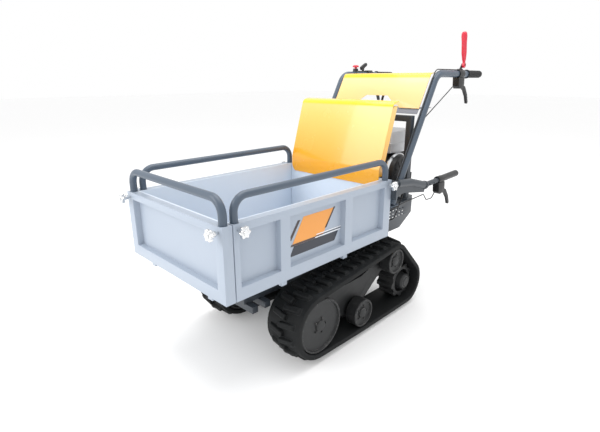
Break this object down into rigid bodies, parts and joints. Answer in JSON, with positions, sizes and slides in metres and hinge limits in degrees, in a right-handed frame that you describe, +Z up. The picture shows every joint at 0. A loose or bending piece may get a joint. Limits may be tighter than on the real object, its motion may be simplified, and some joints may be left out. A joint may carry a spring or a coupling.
{
  "type": "power wheelbarrow",
  "caption": "Tracked petrol mini dumper: tipping load bed with sliding panels and guard rails, yellow headboard, rear engine, walk-behind handlebars with levers, rubber tracks.",
  "frame": {"origin": "middle of the machine's footprint, on the ground", "axes": "+X to the machine's left side, +Y towards the operator behind it, +Z up; it travels forwards along -Y"},
  "size_m": [0.733, 1.822, 1.3456],
  "materials": {
    "panel_paint": "light bluish-grey powder coat, satin",
    "frame_paint": "dark slate-grey powder coat, satin",
    "rail_paint": "slate-grey powder-coated tube, satin",
    "yellow_paint": "warm yellow gloss paint",
    "tray_paint": "mid-grey paint, satin",
    "red_plastic": "moulded red plastic, gloss",
    "black_plastic": "moulded black plastic, fine grain",
    "grip_rubber": "black rubber sleeve, ribbed",
    "cable_sheath": "black cable sheath, satin",
    "track_rubber": "black track rubber, dusty matt",
    "zinc_plate": "bright zinc plate",
    "tank_paint": "light silver-grey paint",
    "engine_alloy": "die-cast aluminium, matt",
    "cast_iron": "painted casting, dark grey"
  },
  "bodies": {
    "chassis": {"chassis_frame": "frame_paint", "gearbox": "cast_iron", "engine_frame": "frame_paint", "drive_cover": "frame_paint", "engine_block": "engine_alloy", "recoil_cover": "black_plastic", "fuel_tank": "tank_paint", "air_filter": "black_plastic", "muffler": "cast_iron", "console_panel": "yellow_paint", "console_tray": "tray_paint", "clutch_cable": "cable_sheath", "left_track_frame": "cast_iron", "right_track_frame": "cast_iron", "left_track_belt": "track_rubber", "right_track_belt": "track_rubber", "left_handlebar": "rail_paint", "right_handlebar": "rail_paint", "left_grip": "grip_rubber", "right_grip": "grip_rubber", "left_lever_bracket": "black_plastic", "right_lever_bracket": "black_plastic", "left_steering_cable": "cable_sheath", "right_steering_cable": "cable_sheath"},
    "bed": {"bed_frame": "frame_paint", "bed_tray": "panel_paint", "headboard": "yellow_paint", "dump_handle_tube": "frame_paint", "dump_grip": "black_plastic", "dump_cable": "cable_sheath"},
    "front_gate": {"front_panel": "panel_paint"},
    "left_side": {"left_side_panel": "panel_paint"},
    "right_side": {"right_side_panel": "panel_paint"},
    "front_hoop": {"front_rail": "rail_paint"},
    "left_hoop": {"left_side_rail": "rail_paint"},
    "right_hoop": {"right_side_rail": "rail_paint"},
    "left_front_clamp": {"left_front_knob": "zinc_plate"},
    "left_side_clamp_front": {"left_side_knob_front": "zinc_plate"},
    "left_side_clamp_rear": {"left_side_knob_rear": "zinc_plate"},
    "right_front_clamp": {"right_front_knob": "zinc_plate"},
    "right_side_clamp_front": {"right_side_knob_front": "zinc_plate"},
    "right_side_clamp_rear": {"right_side_knob_rear": "zinc_plate"},
    "left_drive_wheel": {"left_sprocket": "cast_iron"},
    "left_idler_wheel": {"left_idler": "cast_iron"},
    "left_lower_roller": {"left_roller": "cast_iron"},
    "left_upper_roller": {"left_carrier": "cast_iron"},
    "right_drive_wheel": {"right_sprocket": "cast_iron"},
    "right_idler_wheel": {"right_idler": "cast_iron"},
    "right_lower_roller": {"right_roller": "cast_iron"},
    "right_upper_roller": {"right_carrier": "cast_iron"},
    "clutch_control": {"clutch_lever": "red_plastic"},
    "left_steering": {"left_steering_lever": "black_plastic"},
    "right_steering": {"right_steering_lever": "black_plastic"},
    "throttle": {"throttle_lever": "black_plastic"},
    "stop_button": {"stop_switch": "red_plastic"},
    "gear_selector": {"gear_lever": "black_plastic"},
    "fuel_filler_cap": {"fuel_cap": "black_plastic"},
    "starter_pull": {"recoil_handle": "black_plastic"},
    "tip_release": {"dump_lever": "black_plastic"},
    "latch": {"bed_latch": "zinc_plate"}
  },
  "joints": [
    {"name": "bed_tip", "type": "hinge", "parent": "chassis", "child": "bed", "pos_m": [0, -0.617, 0.329], "axis": [1, 0, 0], "range_deg": [0, 55]},
    {"name": "front_gate_slide", "type": "slide", "parent": "bed", "child": "front_gate", "axis": [0, -1, 0], "range_m": [0, 0.13]},
    {"name": "left_side_slide", "type": "slide", "parent": "bed", "child": "left_side", "axis": [1, 0, 0], "range_m": [0, 0.165]},
    {"name": "right_side_slide", "type": "slide", "parent": "bed", "child": "right_side", "axis": [-1, 0, 0], "range_m": [0, 0.165]},
    {"name": "front_hoop_lift", "type": "slide", "parent": "front_gate", "child": "front_hoop", "axis": [0, 0, 1], "range_m": [0, 0.05]},
    {"name": "left_hoop_lift", "type": "slide", "parent": "left_side", "child": "left_hoop", "axis": [0, 0, 1], "range_m": [0, 0.05]},
    {"name": "right_hoop_lift", "type": "slide", "parent": "right_side", "child": "right_hoop", "axis": [0, 0, 1], "range_m": [0, 0.05]},
    {"name": "left_front_clamp_turn", "type": "hinge", "parent": "front_gate", "child": "left_front_clamp", "pos_m": [0.302, -0.867, 0.675], "axis": [0, -1, 0], "range_deg": [0, 180]},
    {"name": "left_side_clamp_front_turn", "type": "hinge", "parent": "left_side", "child": "left_side_clamp_front", "pos_m": [0.3225, -0.807, 0.675], "axis": [1, 0, 0], "range_deg": [0, 180]},
    {"name": "left_side_clamp_rear_turn", "type": "hinge", "parent": "left_side", "child": "left_side_clamp_rear", "pos_m": [0.3225, 0.017, 0.675], "axis": [1, 0, 0], "range_deg": [0, 180]},
    {"name": "right_front_clamp_turn", "type": "hinge", "parent": "front_gate", "child": "right_front_clamp", "pos_m": [-0.302, -0.867, 0.675], "axis": [0, -1, 0], "range_deg": [0, 180]},
    {"name": "right_side_clamp_front_turn", "type": "hinge", "parent": "right_side", "child": "right_side_clamp_front", "pos_m": [-0.3225, -0.807, 0.675], "axis": [-1, 0, 0], "range_deg": [0, 180]},
    {"name": "right_side_clamp_rear_turn", "type": "hinge", "parent": "right_side", "child": "right_side_clamp_rear", "pos_m": [-0.3225, 0.017, 0.675], "axis": [-1, 0, 0], "range_deg": [0, 180]},
    {"name": "left_drive_wheel_spin", "type": "hinge", "parent": "chassis", "child": "left_drive_wheel", "pos_m": [0.255, 0.228, 0.13], "axis": [1, 0, 0], "continuous": true},
    {"name": "left_idler_wheel_spin", "type": "hinge", "parent": "chassis", "child": "left_idler_wheel", "pos_m": [0.255, -0.427, 0.168], "axis": [1, 0, 0], "continuous": true},
    {"name": "left_lower_roller_spin", "type": "hinge", "parent": "chassis", "child": "left_lower_roller", "pos_m": [0.255, -0.14, 0.1075], "axis": [1, 0, 0], "continuous": true},
    {"name": "left_upper_roller_spin", "type": "hinge", "parent": "chassis", "child": "left_upper_roller", "pos_m": [0.255, 0.108, 0.285], "axis": [1, 0, 0], "continuous": true},
    {"name": "right_drive_wheel_spin", "type": "hinge", "parent": "chassis", "child": "right_drive_wheel", "pos_m": [-0.255, 0.228, 0.13], "axis": [1, 0, 0], "continuous": true},
    {"name": "right_idler_wheel_spin", "type": "hinge", "parent": "chassis", "child": "right_idler_wheel", "pos_m": [-0.255, -0.427, 0.168], "axis": [1, 0, 0], "continuous": true},
    {"name": "right_lower_roller_spin", "type": "hinge", "parent": "chassis", "child": "right_lower_roller", "pos_m": [-0.255, -0.14, 0.1075], "axis": [1, 0, 0], "continuous": true},
    {"name": "right_upper_roller_spin", "type": "hinge", "parent": "chassis", "child": "right_upper_roller", "pos_m": [-0.255, 0.108, 0.285], "axis": [1, 0, 0], "continuous": true},
    {"name": "clutch_lever_swing", "type": "hinge", "parent": "chassis", "child": "clutch_control", "pos_m": [0.286, 0.704, 1.187], "axis": [-1, 0, 0], "range_deg": [0, 80]},
    {"name": "left_steering_squeeze", "type": "hinge", "parent": "chassis", "child": "left_steering", "pos_m": [0.286, 0.692, 1.087], "axis": [1, 0, 0], "range_deg": [0, 25], "stiffness_Nm_per_rad": 0.6, "springref_deg": -5.73},
    {"name": "right_steering_squeeze", "type": "hinge", "parent": "chassis", "child": "right_steering", "pos_m": [-0.286, 0.692, 1.087], "axis": [1, 0, 0], "range_deg": [0, 25], "stiffness_Nm_per_rad": 0.6, "springref_deg": -5.73},
    {"name": "throttle_swing", "type": "hinge", "parent": "chassis", "child": "throttle", "pos_m": [-0.286, 0.603, 1.18], "axis": [1, 0, 0], "range_deg": [0, 50]},
    {"name": "stop_button_press", "type": "slide", "parent": "chassis", "child": "stop_button", "axis": [0, 0, -1], "range_m": [0, 0.004], "stiffness_N_per_m": 400, "springref_m": -0.002},
    {"name": "gear_selector_swing", "type": "hinge", "parent": "chassis", "child": "gear_selector", "pos_m": [0, 0.408, 0.965], "axis": [1, 0, 0], "range_deg": [-15, 12]},
    {"name": "fuel_cap_turn", "type": "hinge", "parent": "chassis", "child": "fuel_filler_cap", "pos_m": [0.03, 0.338, 0.889], "axis": [0, 0, 1], "range_deg": [0, 90]},
    {"name": "starter_pull_out", "type": "slide", "parent": "chassis", "child": "starter_pull", "axis": [0, 1, 0], "range_m": [0, 0.15], "stiffness_N_per_m": 60, "springref_m": -0.05},
    {"name": "tip_release_squeeze", "type": "hinge", "parent": "bed", "child": "tip_release", "pos_m": [0.336, 0.487, 0.57342], "axis": [1, 0, 0], "range_deg": [0, 22], "stiffness_Nm_per_rad": 0.6, "springref_deg": -5.73},
    {"name": "latch_swing", "type": "hinge", "parent": "bed", "child": "latch", "pos_m": [0, 0.025, 0.374], "axis": [1, 0, 0], "range_deg": [0, 22]}
  ],
  "couplings": [
    {"joint": "left_idler_wheel_spin", "follows": "left_drive_wheel_spin", "ratio": 0.75},
    {"joint": "left_lower_roller_spin", "follows": "left_drive_wheel_spin", "ratio": 1.3333},
    {"joint": "left_upper_roller_spin", "follows": "left_drive_wheel_spin", "ratio": 1.3846},
    {"joint": "right_idler_wheel_spin", "follows": "right_drive_wheel_spin", "ratio": 0.75},
    {"joint": "right_lower_roller_spin", "follows": "right_drive_wheel_spin", "ratio": 1.3333},
    {"joint": "right_upper_roller_spin", "follows": "right_drive_wheel_spin", "ratio": 1.3846},
    {"joint": "latch_swing", "follows": "tip_release_squeeze", "ratio": 1}
  ]
}
